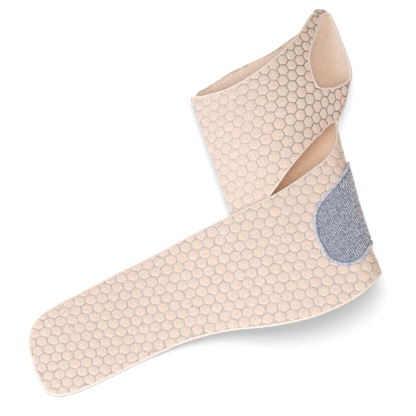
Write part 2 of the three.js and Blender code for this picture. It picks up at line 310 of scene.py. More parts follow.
real = np.cross(folded[corner_verts[:, 1]] - folded[corner_verts[:, 0]],
                folded[corner_verts[:, 2]] - folded[corner_verts[:, 0]])
real_area = np.linalg.norm(real, axis=1).sum()
pattern *= math.sqrt(real_area / abs(doubled_areas(pattern).sum()))
in_patch = ((folded > PATCH_LOW) & (folded < PATCH_HIGH)).all(axis=1)
on_palm = in_patch[corner_verts[:, 0]]
flat_palm = pattern[corners[on_palm, 0]]
real_palm = folded[corner_verts[on_palm, 0], :2]
spread_flat = flat_palm - flat_palm.mean(0)
spread_real = real_palm - real_palm.mean(0)
lean = math.atan2((spread_flat[:, 0] * spread_real[:, 1] - spread_flat[:, 1] * spread_real[:, 0]).sum(),
                  (spread_flat * spread_real).sum())
turned = np.array([[math.cos(lean), math.sin(lean)], [-math.sin(lean), math.cos(lean)]])
pattern = (pattern - flat_palm.mean(0)) @ turned + real_palm.mean(0)
former_mesh.uv_layers[0].data.foreach_set("uv", pattern.ravel())
bpy.data.objects.remove(former_object)
stretch = np.abs(doubled_areas(pattern)) / np.maximum(np.linalg.norm(real, axis=1), 1e-6)
print("pattern mm", pattern.min(0).round(1), pattern.max(0).round(1))
print("area cm2", round(real_area / 2 / 100, 1))
print("stretch from flat to folded", np.percentile(stretch, [1, 50, 99]).round(3))

# %% [markdown]
# ## Fold and unfold
# Any flat mesh can now be carried onto the former: each vertex finds the flat triangle it lies in, takes
# the same place in the folded triangle, and keeps its height along the surface normal. The way back finds
# where a point of the folded surface lies on the pattern. The flat place stays with the mesh as its UV
# map, so that materials follow the cloth round the folds.

# %% Carry a flat mesh onto the former
PATTERN_SPAN = 500.0
PATTERN_CORNER = Vector((-420, -260))
flat_points = [Vector((x, y, 0.0)) for x, y in pattern[corners].reshape(-1, 2)]
folded_points = [Vector(place) for place in folded[corner_verts].reshape(-1, 3)]
folded_normals = [Vector(normal) for normal in normals[corner_verts].reshape(-1, 3)]
thirds = [(k, k + 1, k + 2) for k in range(0, len(flat_points), 3)]
flat_tree = BVHTree.FromPolygons(flat_points, thirds)
folded_tree = BVHTree.FromPolygons(folded_points, thirds)


def fold_point(place):
    spot = Vector((place.x, place.y, 0))
    third = thirds[flat_tree.find_nearest(spot)[2]]
    flat = [flat_points[k] for k in third]
    at = barycentric_transform(spot, *flat, *[folded_points[k] for k in third])
    normal = barycentric_transform(spot, *flat, *[folded_normals[k] for k in third]).normalized()
    return at + normal * place.z


def unfold(place):
    spot, _, index, _ = folded_tree.find_nearest(Vector(place))
    third = thirds[index]
    return barycentric_transform(spot, *[folded_points[k] for k in third], *[flat_points[k] for k in third])


def surface_normal(place):
    spot, _, index, _ = folded_tree.find_nearest(Vector(place))
    third = thirds[index]
    corner_normals = [folded_normals[k] for k in third]
    return barycentric_transform(spot, *[folded_points[k] for k in third], *corner_normals).normalized()


def fold(bm):
    layer = bm.loops.layers.uv.new("flat")
    for face in bm.faces:
        for corner in face.loops:
            corner[layer].uv = (corner.vert.co.xy - PATTERN_CORNER) / PATTERN_SPAN
    for vert in bm.verts:
        vert.co = fold_point(vert.co)


def finish_mesh(bm, name, materials):
    bmesh.ops.transform(bm, matrix=Matrix.Scale(MM, 4), verts=bm.verts)
    mesh = bpy.data.meshes.new(name)
    bm.to_mesh(mesh)
    bm.free()
    mesh.shade_smooth()
    for material in materials:
        mesh.materials.append(material)
    piece = bpy.data.objects.new(name, mesh)
    bpy.context.collection.objects.link(piece)
    mesh.calc_loop_triangles()
    print(name, len(mesh.loop_triangles), "triangles")
    return piece


print("there and back", unfold(fold_point(Vector((10, 20, 0)))))

# %% [markdown]
# ## Colours and nodes
# Colours are written as they look on a screen and turned to linear light by one function. One more
# function adds a node, sets it up and links it, and every material below is built from calls to it.

# %% Two small material helpers
def linear(code):
    parts = [int(code[k:k + 2], 16) / 255 for k in (1, 3, 5)]
    return (*[p / 12.92 if p <= 0.04045 else ((p + 0.055) / 1.055) ** 2.4 for p in parts], 1.0)


def add(tree, kind, inputs=None, stops=(), **settings):
    node = tree.nodes.new("ShaderNode" + kind)
    for name, value in settings.items():
        setattr(node, name, value)
    for k, (place, code) in enumerate(stops):
        element = node.color_ramp.elements[k] if k < 2 else node.color_ramp.elements.new(place)
        element.position = place
        element.color = linear(code)
    for socket, value in (inputs or {}).items():
        if isinstance(value, bpy.types.NodeSocket):
            tree.links.new(value, node.inputs[socket])
        else:
            node.inputs[socket].default_value = value
    return node


def start_material(name):
    material = bpy.data.materials.new(name)
    material.use_nodes = True
    return material, material.node_tree, material.node_tree.nodes["Principled BSDF"]


print("white in linear light", linear("#ffffff"))

# %% [markdown]
# ## Face fabric: embossed laminated polyester knit
# The outer face is a thin peach knit glued to foam and pressed into soft hexagonal cells, with grey lines
# in the grooves. The cells are modelled, and each vertex carries how deep in a groove it is, so the
# colour follows the relief exactly. Over the left fold the lines are painted paler, a painted highlight,
# and beside the thumb hole they are painted darker, a painted shade. A fine knit grain and a faint
# mottling keep the cells from looking like plastic.

# %% Embossed polyester knit
# Real courses are about 0.5 mm apart. They are drawn wider here, because finer ones don't show.
KNIT_COURSE = 0.9
SPECKLE = 1.6
WEAR_PATCH = 4.0

face_fabric, tree, shader = start_material("embossed_polyester_knit")
flat_map = add(tree, "UVMap", uv_map="flat").outputs["UV"]
groove = add(tree, "Attribute", attribute_name="line").outputs["Fac"]
speckle = add(tree, "TexNoise", {"Vector": flat_map, "Scale": PATTERN_SPAN / SPECKLE, "Detail": 2.0})
middle = add(tree, "ValToRGB", {"Fac": speckle.outputs["Fac"]}, stops=[(0.3, "#e6d4c9"), (0.7, "#feede2")])
border = add(tree, "ValToRGB", {"Fac": speckle.outputs["Fac"]}, stops=[(0.3, "#e7d7ce"), (0.7, "#fceee6")])
near = add(tree, "MapRange", {"Value": groove, "From Min": 0.0, "From Max": 0.3})
cell = add(tree, "Mix", {0: near.outputs[0], 6: middle.outputs[0], 7: border.outputs[0]}, data_type="RGBA")
wear = add(tree, "TexNoise", {"Vector": flat_map, "Scale": PATTERN_SPAN / WEAR_PATCH, "Detail": 2.0})
plain_line = add(tree, "ValToRGB", {"Fac": wear.outputs["Fac"]}, stops=[(0.35, "#b4b4b8"), (0.65, "#d5d5d7")])
# Darker lines at the palm's end beside the thumb hole, laid on by the mask and mix below: painted shade.
painted_shade_line = add(tree, "ValToRGB", {"Fac": wear.outputs["Fac"]}, stops=[(0.35, "#746f72"), (0.65, "#a49d9e")])
along = add(tree, "SeparateXYZ", {0: flat_map})
palm_end_shade_mask = add(tree, "MapRange", {"Value": along.outputs[0], "From Min": 0.80, "From Max": 0.92})
kept = add(tree, "Mix", {0: palm_end_shade_mask.outputs[0], 6: plain_line.outputs[0], 7: painted_shade_line.outputs[0]}, data_type="RGBA")
# Paler lines over the left fold, laid on by the mask and mix below: a painted highlight.
painted_highlight_line = add(tree, "ValToRGB", {"Fac": wear.outputs["Fac"]}, stops=[(0.35, "#d2c8c2"), (0.65, "#e8dcd4")])
left_fold_highlight_mask = add(tree, "ValToRGB", {"Fac": along.outputs[0]},
                stops=[(0.68, "#000000"), (0.85, "#000000"), (0.75, "#e8e8e8"), (0.79, "#d0d0d0")])
line = add(tree, "Mix", {0: left_fold_highlight_mask.outputs[0], 6: kept.outputs[2], 7: painted_highlight_line.outputs[0]},
           data_type="RGBA")
deep = add(tree, "MapRange", {"Value": groove, "From Min": 0.4, "From Max": 0.9})
colour = add(tree, "Mix", {0: deep.outputs[0], 6: cell.outputs[2], 7: line.outputs[2]}, data_type="RGBA")
grain = add(tree, "TexNoise", {"Vector": flat_map, "Scale": PATTERN_SPAN / KNIT_COURSE, "Detail": 2.0})
bump = add(tree, "Bump", {"Height": grain.outputs["Fac"], "Strength": 0.35, "Distance": 0.0003})
tree.links.new(colour.outputs[2], shader.inputs["Base Color"])
tree.links.new(bump.outputs["Normal"], shader.inputs["Normal"])
shader.inputs["Roughness"].default_value = 0.85
shader.inputs["Sheen Weight"].default_value = 0.15
shader.inputs["Specular IOR Level"].default_value = 0.3
print(face_fabric.name)

# %% [markdown]
# ## Lining: brushed tricot
# The inside is a smooth tan tricot with a short brushed nap, so it looks soft and slightly mottled, with
# hardly any gloss. Its fine wales run round the loop. Its tan is painted deeper at the strap's root than
# towards the fingers, a painted shade.

# %% Brushed tricot
# Real wales are about 0.7 mm apart. They are drawn wider here, because finer ones don't show.
# A wave texture counts twenty radians to a unit of its scale.
WALE = 1.7
WAVE_UNIT = math.tau / 20
NAP = 1.3

lining_fabric, tree, shader = start_material("brushed_tricot_lining")
flat_map = add(tree, "UVMap", uv_map="flat").outputs["UV"]
nap = add(tree, "TexNoise", {"Vector": flat_map, "Scale": PATTERN_SPAN / NAP, "Detail": 3.0,
                             "Roughness": 0.6})
# Deeper tan towards the strap's root, laid on by the mask below: painted shade.
painted_shade_tan = add(tree, "ValToRGB", {"Fac": nap.outputs["Fac"]}, stops=[(0.3, "#edcbb2"), (0.7, "#ffead6")])
pale_tan = add(tree, "ValToRGB", {"Fac": nap.outputs["Fac"]}, stops=[(0.3, "#efd8c9"), (0.7, "#fff9f1")])
along = add(tree, "SeparateXYZ", {0: flat_map})
shade_to_rim_mask = add(tree, "MapRange", {"Value": along.outputs[1], "From Min": 0.54, "From Max": 0.62})
colour = add(tree, "Mix", {0: shade_to_rim_mask.outputs[0], 6: painted_shade_tan.outputs[0], 7: pale_tan.outputs[0]},
             data_type="RGBA")
wale = add(tree, "TexWave", {"Vector": flat_map, "Scale": PATTERN_SPAN / WALE * WAVE_UNIT,
                             "Distortion": 1.5, "Detail": 2.0}, bands_direction="Y")
bump = add(tree, "Bump", {"Height": wale.outputs["Fac"], "Strength": 0.35, "Distance": 0.0003})
tree.links.new(colour.outputs[2], shader.inputs["Base Color"])
tree.links.new(bump.outputs["Normal"], shader.inputs["Normal"])
shader.inputs["Roughness"].default_value = 0.9
shader.inputs["Sheen Weight"].default_value = 0.3
shader.inputs["Specular IOR Level"].default_value = 0.2
print(lining_fabric.name)

# %% [markdown]
# ## Cut edge: sealed foam
# Where the sheet is cut, the hot die rounds and seals the foam into a narrow cream edge.

# %% Sealed foam edge
PORE = 1.4

foam_edge, tree, shader = start_material("sealed_foam_edge")
place = add(tree, "TexCoord").outputs["Object"]
pores = add(tree, "TexNoise", {"Vector": place, "Scale": 1 / (PORE * MM), "Detail": 3.0})
colour = add(tree, "ValToRGB", {"Fac": pores.outputs["Fac"]}, stops=[(0.3, "#f9ece1"), (0.7, "#fffaf4")])
bump = add(tree, "Bump", {"Height": pores.outputs["Fac"], "Strength": 0.2, "Distance": 0.0002})
tree.links.new(colour.outputs[0], shader.inputs["Base Color"])
tree.links.new(bump.outputs["Normal"], shader.inputs["Normal"])
shader.inputs["Roughness"].default_value = 0.8
print(foam_edge.name)

# %% [markdown]
# ## The honeycomb sheet
# The cells are six-sided, but the real cloth is not quite even: it has been pulled along one diagonal and
# its cells grow slowly from the strap's free end towards the palm. So the honeycomb is set out evenly
# first, with six-sided circles in rows, and each of its corners is then moved by one formula. Complex
# numbers keep that formula short: a product turns and scales a place at once. Beside the thumb hole the
# rows also bend up and close together. Only cells that touch the pattern are made.

# %% Where a place of the even honeycomb goes
CELL_PITCH = 7.33
CELL_LEAN = cmath.rect(1, math.radians(5.0))
CELL_START = complex(-351.7, -136.9)
PULL = 1.108
PULL_WAY = cmath.rect(1, math.radians(156))
DRIFT = complex(0.000534, -0.000392)
DRIFT_REACH = 120.0
THUMB_BEND = complex(-0.14, 0.26)
THUMB_SHEAR = 0.085
THUMB_SHEAR_MIDDLE = 41.5
THUMB_BEND_AT = 8.0
THUMB_BEND_REACH = 8.0


def cell_place(x, y):
    pulled = complex(x, y) * CELL_LEAN / PULL_WAY
    pulled = complex(pulled.real * PULL, pulled.imag) * PULL_WAY
    place = CELL_START + pulled + DRIFT * DRIFT_REACH**2 * cmath.log(cmath.cosh(pulled / DRIFT_REACH))
    reached = math.exp((place.real - THUMB_BEND_AT) / THUMB_BEND_REACH)
    lean = THUMB_SHEAR * (place.imag - THUMB_SHEAR_MIDDLE) * reached / (1 + reached)
    place += THUMB_BEND * THUMB_BEND_REACH * math.log1p(reached) - lean
    return Vector((place.real, place.imag, 0))


print("first cell", cell_place(0, 0), "next cell", cell_place(CELL_PITCH, 0))

# %% Lay out the honeycomb
SHEET_THICK = 1.75
SHEET_MERGE = 0.05
CELL_MARGIN = 0.7


def thicken(bm, height):
    lifted = bmesh.ops.extrude_face_region(bm, geom=bm.faces[:], use_keep_orig=True)
    tops = [item for item in lifted["geom"] if isinstance(item, bmesh.types.BMVert)]
    bmesh.ops.translate(bm, vec=(0, 0, height), verts=tops)
    bmesh.ops.recalc_face_normals(bm, faces=bm.faces)


sheet = bmesh.new()
for row in range(-40, 50):
    for column in range(-40, 80):
        even = Vector((CELL_PITCH * (column + 0.5 * (row % 2)), CELL_PITCH * math.sqrt(0.75) * row, 0))
        middle = cell_place(even.x, even.y)
        if (flat_tree.find_nearest(middle)[0] - middle).length < CELL_PITCH * CELL_MARGIN:
            bmesh.ops.create_circle(sheet, cap_ends=True, segments=6, radius=CELL_PITCH / math.sqrt(3),
                                    matrix=Matrix.Translation(even))
print("cells", len(sheet.faces))
bmesh.ops.remove_doubles(sheet, verts=sheet.verts, dist=SHEET_MERGE)
for vert in sheet.verts:
    vert.co = cell_place(vert.co.x, vert.co.y)
bmesh.ops.bisect_edges(sheet, edges=sheet.edges, cuts=1)
bmesh.ops.recalc_face_normals(sheet, faces=sheet.faces)
if sheet.faces[:][0].normal.z < 0:
    bmesh.ops.reverse_faces(sheet, faces=sheet.faces)
bmesh.ops.translate(sheet, vec=(0, 0, -HALF), verts=sheet.verts)
thicken(sheet, SHEET_THICK)
print("sheet", len(sheet.verts), "verts")

# %% [markdown]
# ## The cutting die
# Splitting the former along its seam and moving each vertex to its flat place gives the outline of the
# pattern. A prism on that outline is the die. A second prism, for the thumb, is a notch in the palm
# wall's end that becomes half of the hole when the seam is closed.

# %% The pattern's prism
EDGE_RADIUS = 0.8
DIE_REACH = 6


def prism(bm, name):
    bmesh.ops.translate(bm, vec=(0, 0, -DIE_REACH), verts=bm.verts)
    bmesh.ops.recalc_face_normals(bm, faces=bm.faces)
    thicken(bm, 2 * DIE_REACH)
    for layer in bm.loops.layers.uv.values():
        bm.loops.layers.uv.remove(layer)
    mesh = bpy.data.meshes.new(name)
    bm.to_mesh(mesh)
    bm.free()
    return bpy.data.objects.new(name, mesh)


def die_cut(bm, kept, taken=None):
    mesh = bpy.data.meshes.new("blank")
    bm.to_mesh(mesh)
    bm.free()
    blank = bpy.data.objects.new("blank", mesh)
    bpy.context.collection.objects.link(blank)
    for die, operation in ((kept, "INTERSECT"), (taken, "DIFFERENCE")):
        if die:
            bpy.context.collection.objects.link(die)
            cut = blank.modifiers.new(operation, "BOOLEAN")
            cut.operation = operation
            cut.solver = "EXACT"
            cut.object = die
    depsgraph = bpy.context.evaluated_depsgraph_get()
    result = bmesh.new()
    result.from_mesh(blank.evaluated_get(depsgraph).to_mesh())
    for used in (blank, kept, taken):
        if used:
            bpy.data.objects.remove(used)
    return result


flat_former = bmesh.new()
flat_former.from_mesh(former_mesh)
bmesh.ops.split_edges(flat_former, edges=[edge for edge in flat_former.edges if edge.seam])
flat_layer = flat_former.loops.layers.uv[0]
for vert in flat_former.verts:
    vert.co = (*vert.link_loops[0][flat_layer].uv, 0)
inward = {}
for edge in flat_former.edges:
    if edge.is_boundary and not edge.seam:
        way = edge.verts[1].co - edge.verts[0].co
        aside = Vector((-way.y, way.x, 0)).normalized()
        if aside.dot(edge.link_faces[0].calc_center_median() - edge.verts[0].co) < 0:
            aside.negate()
        for vert in edge.verts:
            inward.setdefault(vert, Vector()).xyz += aside
for vert, aside in inward.items():
    vert.co += aside.normalized() * EDGE_RADIUS
pattern_die = prism(flat_former, "pattern_die")
print("pattern die", len(pattern_die.data.polygons), "faces")

# %% The thumb notch
THUMB_HOLE = {
    "turn": [0, 0.18, 0.53, 0.88, 1.06, 1.14, 1.18, 1.16, 1.06, 0.95, 0.7, 0.35, 0.05, 0, 0],
    "y": [55, 47.5, 42, 39.8, 41, 46, 56, 69, 84, 96, 101, 103, 101, 95, 75],
}
HOLE_POINTS = 90
NOTCH_FROM = 0.06
NOTCH_LEAD = 2
NOTCH_LOW_END = Vector((14, 0, 0))
NOTCH_HIGH_END = Vector((16, 0, 0))


def closed(values, count):
    ring = np.tile(values, 3)
    size = len(values)
    return smooth(np.arange(3 * size), ring, size + np.arange(count) * size / count)


def grown(ring, offset):
    ahead = np.roll(ring, -1, axis=0) - np.roll(ring, 1, axis=0)
    ahead /= np.linalg.norm(ahead, axis=1)[:, None]
    outward = np.stack([ahead[:, 1], -ahead[:, 0]], axis=1)
    area = (ring[:, 0] * np.roll(ring[:, 1], -1) - np.roll(ring[:, 0], -1) * ring[:, 1]).sum()
    return ring + outward * offset * np.sign(area)


hole_turn = np.maximum(closed(THUMB_HOLE["turn"], HOLE_POINTS), 0)
hole_y = closed(THUMB_HOLE["y"], HOLE_POINTS)
hole_ring = loop_point(hole_turn, hole_y)
on_palm_side = [k for k in range(HOLE_POINTS) if hole_turn[k] > NOTCH_FROM]
notch = [unfold(hole_ring[k]) for k in on_palm_side]
notch.insert(0, notch[0] + (notch[0] - notch[3]).normalized() * NOTCH_LEAD + NOTCH_LOW_END)
notch.append(notch[-1] + NOTCH_HIGH_END)
thumb_die = bmesh.new()
notch_ring = grown(np.array([place.xy for place in notch]), EDGE_RADIUS)
thumb_die.faces.new([thumb_die.verts.new((*place, 0)) for place in notch_ring])
thumb_die = prism(thumb_die, "thumb_die")
print("thumb notch", [tuple(round(c, 1) for c in place.xy) for place in notch[::12]])

# %% [markdown]
# ## Cut the sheet and puff the cells
# Two booleans press the dies through the sheet. Then each cell is inset in rings: a narrow flat groove
# first, then a steep shoulder, then a gently domed middle. Cells that the die has cut are smaller, so
# their rings shrink with them. The underside is poked so that the lining bends smoothly.

# %% Die-cut and emboss
# Each ring has its distance from the cell's border, its height and its share of the groove's colour.
RINGS = [(0.22, 0.0, 1.0), (0.55, 0.20, 0.3), (1.5, 0.36, 0.2), (2.7, 0.44, 0.0)]
RING_LIMIT = 0.68
CUT_MERGE = 0.02

wrap = die_cut(sheet, pattern_die, thumb_die)
bmesh.ops.remove_doubles(wrap, verts=wrap.verts, dist=CUT_MERGE)
bmesh.ops.dissolve_degenerate(wrap, edges=wrap.edges, dist=CUT_MERGE)
wrap.normal_update()
depth = wrap.verts.layers.float.new("line")
tops = [face for face in wrap.faces if face.normal.z > 0.9]
lining = [face for face in wrap.faces if face.normal.z < -0.9]
for face in wrap.faces:
    face.material_index = 2
for face in lining:
    face.material_index = 1
for face in tops:
    face.material_index = 0
    for vert in face.verts:
        vert[depth] = 1.0
apothem = CELL_PITCH / 2
room = {face: 2 * face.calc_area() / face.calc_perimeter() for face in tops}
middle = {face: face.calc_center_median_weighted() for face in tops}
past = 0.0
for width, rise, value in RINGS:
    bmesh.ops.inset_individual(wrap, faces=tops, thickness=0.0, depth=0.0)
    for face in tops:
        size = min(room[face] / apothem, 1.0)
        narrow = min(width, RING_LIMIT * room[face])
        before = min(past, RING_LIMIT * room[face])
        shrink = (room[face] - narrow) / (room[face] - before)
        level = SHEET_THICK - HALF + rise * size
        for vert in face.verts:
            vert.co = middle[face] + (vert.co - middle[face]) * shrink
            vert.co.z = level
            vert[depth] = value
    past = width
bmesh.ops.poke(wrap, faces=lining)
print("cells", len(tops), "faces", len(wrap.faces))

# %% Fold the wrap
fold(wrap)
wrap_piece = finish_mesh(wrap, "wrap_cloth", [face_fabric, lining_fabric, foam_edge])

# %% [markdown]
# ## The cut edges
# Round rolls follow the edges: one round the finger rim, one round the long outline with the strap, one
# round the thumb hole. A curve with a round bevel makes such a roll in one go.

# %% Edge rolls
RIM_RADIUS = 1.0
OUTLINE_RADIUS = 0.85


def rolled(ring, radius, sides=8, cyclic=True):
    curve = bpy.data.curves.new("roll", "CURVE")
    curve.dimensions = "3D"
    curve.bevel_depth = radius
    curve.bevel_resolution = sides // 2 - 2
    curve.use_fill_caps = True
    spline = curve.splines.new("POLY")
    spline.points.add(len(ring) - 1)
    for point, place in zip(spline.points, ring):
        point.co = (*place, 1)
    spline.use_cyclic_u = cyclic
    bent = bpy.data.objects.new("roll", curve)
    bpy.context.collection.objects.link(bent)
    depsgraph = bpy.context.evaluated_depsgraph_get()
    bm = bmesh.new()
    bm.from_mesh(bent.evaluated_get(depsgraph).to_mesh())
    for layer in bm.loops.layers.uv.values():
        bm.loops.layers.uv.remove(layer)
    bpy.data.objects.remove(bent)
    return bm


def edge_rings(bm):
    left = dict.fromkeys(edge for edge in bm.edges if edge.is_boundary)
    rings = []
    while left:
        edge = left.popitem()[0]
        first, at = edge.verts
        ring = [first, at]
        while at is not first:
            edge = next(side for side in at.link_edges if side in left)
            left.pop(edge)
            at = edge.other_vert(at)
            ring.append(at)
        rings.append(ring[:-1])
    return sorted(rings, key=len)


def into_cloth(ring, ring_normals, cloth_side):
    moved = []
    for k, place in enumerate(ring):
        way = ring[(k + 1) % len(ring)] - ring[k - 1]
        aside = ring_normals[k].cross(way).normalized()
        if aside.dot(cloth_side[k]) < 0:
            aside.negate()
        moved.append(place + aside * EDGE_RADIUS)
    return moved


former.normal_update()
rings = []
for ring in edge_rings(former):
    places = [vert.co.copy() for vert in ring]
    sides = []
    for vert in ring:
        sides.append(sum((face.calc_center_median() - vert.co for face in vert.link_faces), Vector()))
    rings.append(into_cloth(places, [vert.normal.copy() for vert in ring], sides))
hole_places = [Vector(place) for place in hole_ring]
hole_middle = sum(hole_places, Vector()) / len(hole_places)
hole_normals = [surface_normal(place) for place in hole_places]
rings.append(into_cloth(hole_places, hole_normals, [place - hole_middle for place in hole_places]))
print("edge rings", [len(ring) for ring in rings])
edge_pieces = [
    finish_mesh(rolled(rings[0], RIM_RADIUS), "finger_rim", [foam_edge]),
    finish_mesh(rolled(rings[1], OUTLINE_RADIUS), "outline_edge", [foam_edge]),
    finish_mesh(rolled(rings[2], RIM_RADIUS), "thumb_rim", [foam_edge]),
]

# %% [markdown]
# ## The seam
# The palm wall's end is joined to the back wall along the right fold with a zigzag stitch, which holds
# two cut edges side by side without a ridge. Two short runs remain beside the thumb hole. The thread is a
# thin roll that swings from one side of the joint to the other.

# %% Sewing thread
THREAD_TWIST = 0.8

sewing_thread, tree, shader = start_material("sewing_polyester_thread")
place = add(tree, "TexCoord").outputs["Object"]
twist = add(tree, "TexNoise", {"Vector": place, "Scale": 1 / (THREAD_TWIST * MM), "Detail": 2.0})
colour = add(tree, "ValToRGB", {"Fac": twist.outputs["Fac"]}, stops=[(0.3, "#e3cdbb"), (0.7, "#f2e2d4")])
tree.links.new(colour.outputs[0], shader.inputs["Base Color"])
shader.inputs["Roughness"].default_value = 0.6
shader.inputs["Sheen Weight"].default_value = 0.2
print(sewing_thread.name)

# %% Zigzag stitches
ZIGZAG_STEP = 1.5
ZIGZAG_TURN = 0.11
SWING_POINTS = 4
THREAD_RADIUS = 0.26
THREAD_LIFT = 0.12
SEAM_RUNS = [(20.5, 53), (103.5, 107)]


def zigzag(y_start, y_end):
    path = []
    swings = int((y_end - y_start) / ZIGZAG_STEP)
    for k in range(swings * SWING_POINTS + 1):
        part = k / SWING_POINTS
        side = 1 - abs(part % 2 - 1) * 2
        place = loop_point((side * ZIGZAG_TURN) % 6, y_start + part * ZIGZAG_STEP)
        path.append(Vector(place) + surface_normal(place) * (HALF + THREAD_LIFT))
    return path


seam = bmesh.new()
for run in SEAM_RUNS:
    stitched = bpy.data.meshes.new("run")
    rolled(zigzag(*run), THREAD_RADIUS, sides=6, cyclic=False).to_mesh(stitched)
    seam.from_mesh(stitched)
seam_piece = finish_mesh(seam, "seam_stitches", [sewing_thread])

# %% [markdown]
# ## Fastener pad: its outline
# A grey oval pad of loop fabric is sewn on the strap, round the right fold, and the hooks on the strap's
# underside grip it when the strap is wound on. A table gives its outline along the strap, which is laid
# on the flat pattern.

# %% The pad's outline on the pattern
PAD = {
    "along": [-9.5, -7, -3.5, 0, 10.5, 21, 30, 36.5, 40, 42.3],
    "top": [-31, -21, -17, -16, -27, -37.5, -43, -48.5, -54, -64],
    "low": [-60, -69, -73, -75.5, -83, -92, -92, -88, -82.5, -70],
}
PAD_STATIONS = 60
PAD_POINTS = 240
PAD_ROUNDS = 6


def even_ring(ring, count):
    ring = np.asarray(ring)
    sides = np.linalg.norm(np.roll(ring, -1, axis=0) - ring, axis=1)
    run = np.concatenate([[0], np.cumsum(sides)])
    at = np.linspace(0, run[-1], count, endpoint=False)
    looped = np.vstack([ring, ring[:1]])
    return np.stack([np.interp(at, run, looped[:, axis]) for axis in range(ring.shape[1])], axis=1)


def rounded(ring, rounds):
    for _ in range(rounds):
        ring = 0.5 * ring + 0.25 * (np.roll(ring, 1, axis=0) + np.roll(ring, -1, axis=0))
    return ring


pad_first, pad_last = PAD["along"][0], PAD["along"][-1]
pad_along = pad_first + (pad_last - pad_first) * (1 - np.cos(np.linspace(0, math.pi, PAD_STATIONS))) / 2
pad_places = [(a, y) for a, y in zip(pad_along, smooth(PAD["along"], PAD["top"], pad_along))]
pad_places += [(a, y) for a, y in zip(pad_along, smooth(PAD["along"], PAD["low"], pad_along))][::-1]
pad_ring = np.array([unfold(strap_point(a, y)).xy for a, y in pad_places])
pad_ring = rounded(even_ring(pad_ring, PAD_POINTS), PAD_ROUNDS)
pad_low, pad_high = pad_ring.min(0), pad_ring.max(0)
print("pad mm", (pad_high - pad_low).round(1))

# %% [markdown]
# ## Fastener pad: loop fabric
# The pad's ground is a slate knit, drawn darker than the loops, so that it also gives the painted shade in
# the gaps between them. Bright nylon loops stand on it in slanting rows, each caught at a slightly
# different angle, which gives the speckle. Loops carry their own shade, so the speckle is the same from
# every side.

# %% Pad materials
GROUND_SPECKLE = 1.2

pad_ground, tree, shader = start_material("slate_knitted_ground")
flat_map = add(tree, "UVMap", uv_map="flat").outputs["UV"]
speckle = add(tree, "TexNoise", {"Vector": flat_map, "Scale": PATTERN_SPAN / GROUND_SPECKLE, "Detail": 3.0})
# The ground's darker slate is partly painted shade in the gaps between the loops.
colour = add(tree, "ValToRGB", {"Fac": speckle.outputs["Fac"]}, stops=[(0.3, "#6f7b90"), (0.7, "#9fabbe")])
tree.links.new(colour.outputs[0], shader.inputs["Base Color"])
shader.inputs["Roughness"].default_value = 0.9

loop_nylon, tree, shader = start_material("brushed_nylon_loops")
shade = add(tree, "Attribute", attribute_name="shade").outputs["Fac"]
colour = add(tree, "ValToRGB", {"Fac": shade}, stops=[(0.0, "#9fb0cc"), (0.5, "#e2ecfd"), (1.0, "#f8fbff")])
tree.links.new(colour.outputs[0], shader.inputs["Base Color"])
shader.inputs["Roughness"].default_value = 0.55
shader.inputs["Sheen Weight"].default_value = 0.2
print(pad_ground.name, loop_nylon.name)

# %% The pad's ground
PAD_FLOOR = HALF + 0.25
PAD_GROUND_THICK = 0.9
PAD_MARGIN = 6
PAD_CUT = 0.8

ground = bmesh.new()
pad_middle = (pad_low + pad_high) / 2
bmesh.ops.create_grid(ground, x_segments=40, y_segments=56, size=0.5)
spanning = Matrix.Diagonal((*(pad_high - pad_low + PAD_MARGIN), 1, 1))
spanning = Matrix.Translation((*pad_middle, PAD_FLOOR)) @ spanning
bmesh.ops.transform(ground, matrix=spanning, verts=ground.verts)
thicken(ground, PAD_GROUND_THICK)
pad_die = bmesh.new()
pad_die.faces.new([pad_die.verts.new((*place, 0)) for place in grown(pad_ring, PAD_CUT)])
pad = die_cut(ground, prism(pad_die, "pad_die"))
fold(pad)
pad_piece = finish_mesh(pad, "pad_ground", [pad_ground])

# %% The pad's loops
ROW_PITCH = 1.45
LOOP_PITCH = 1.1
ROW_WAY = Vector((0.182, -0.983, 0))
ROW_ANCHOR = (22, -55)
YARN_RADIUS = 0.3
LOOP_RADIUS = 0.45
LOOP_SINK = 0.05
LOOP_SCATTER = 0.14
LOOP_TWIST = (0, 0.35)
LOOP_TIP = (0.25, 0.3)
LOOP_HEIGHT = (1.0, 1.6)
PILE_MARGIN = 0.7


def arch_mesh(name, sides, thread, reach, angle, steps, turn=0.0):
    bm = bmesh.new()
    ring = bmesh.ops.create_circle(bm, segments=sides, radius=thread)
    bmesh.ops.translate(bm, vec=(reach, 0, 0), verts=ring["verts"])
    bmesh.ops.spin(bm, geom=bm.verts[:] + bm.edges[:], cent=(0, 0, 0), axis=(0, -1, 0),
                   angle=angle, steps=steps)
    bmesh.ops.rotate(bm, cent=(0, 0, 0), matrix=Matrix.Rotation(turn, 3, "Y"), verts=bm.verts)
    bmesh.ops.holes_fill(bm, edges=bm.edges)
    bmesh.ops.recalc_face_normals(bm, faces=bm.faces)
    mesh = bpy.data.meshes.new(name)
    bm.to_mesh(mesh)
    bm.free()
    return mesh


def stamp(target, mesh, matrix, shade):
    copy = mesh.copy()
    copy.transform(matrix)
    values = copy.attributes.new("shade", "FLOAT", "POINT")
    values.data.foreach_set("value", [shade] * len(copy.vertices))
    target.from_mesh(copy)
    bpy.data.meshes.remove(copy)


def inside(ring, x, y):
    ahead = np.roll(ring, -1, axis=0)
    crosses = (ring[:, 1] > y) != (ahead[:, 1] > y)
    climb = np.where(crosses, ahead[:, 1] - ring[:, 1], 1)
    reach = ring[:, 0] + (y - ring[:, 1]) / climb * (ahead[:, 0] - ring[:, 0])
    return (crosses & (x < reach)).sum() % 2 == 1


